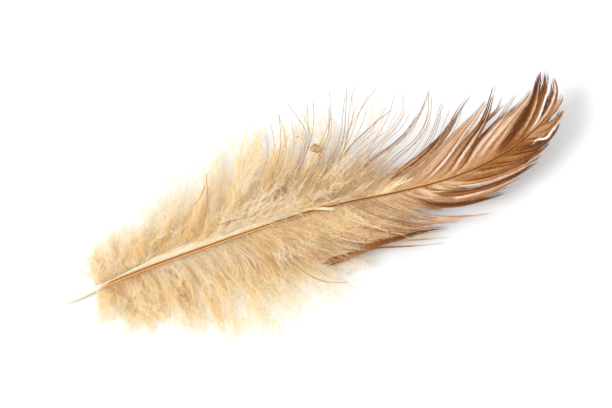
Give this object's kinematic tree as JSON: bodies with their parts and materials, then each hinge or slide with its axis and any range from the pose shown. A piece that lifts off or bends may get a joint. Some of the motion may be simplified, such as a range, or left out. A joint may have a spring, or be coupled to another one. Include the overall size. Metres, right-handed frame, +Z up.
{
  "type": "chicken feather",
  "caption": "Chicken's body feather lying inner side up: a pale quill, a dark shaft, fluffy cream down along its lower half and a loose brown vane that curls up to the tip.",
  "frame": {"origin": "middle of the feather's outline, on the surface that it lies on", "axes": "+X from the quill's end to the tip, +Y to the feather's left as it lies, +Z up from the surface"},
  "size_m": [0.1286, 0.0482, 0.014],
  "materials": {
    "feather": "soft matt keratin, cream down and quill, brown vane",
    "dirt": "dry, matt"
  },
  "bodies": {
    "root": {"feather": "feather", "dirt_crumb": "dirt"}
  },
  "joints": []
}
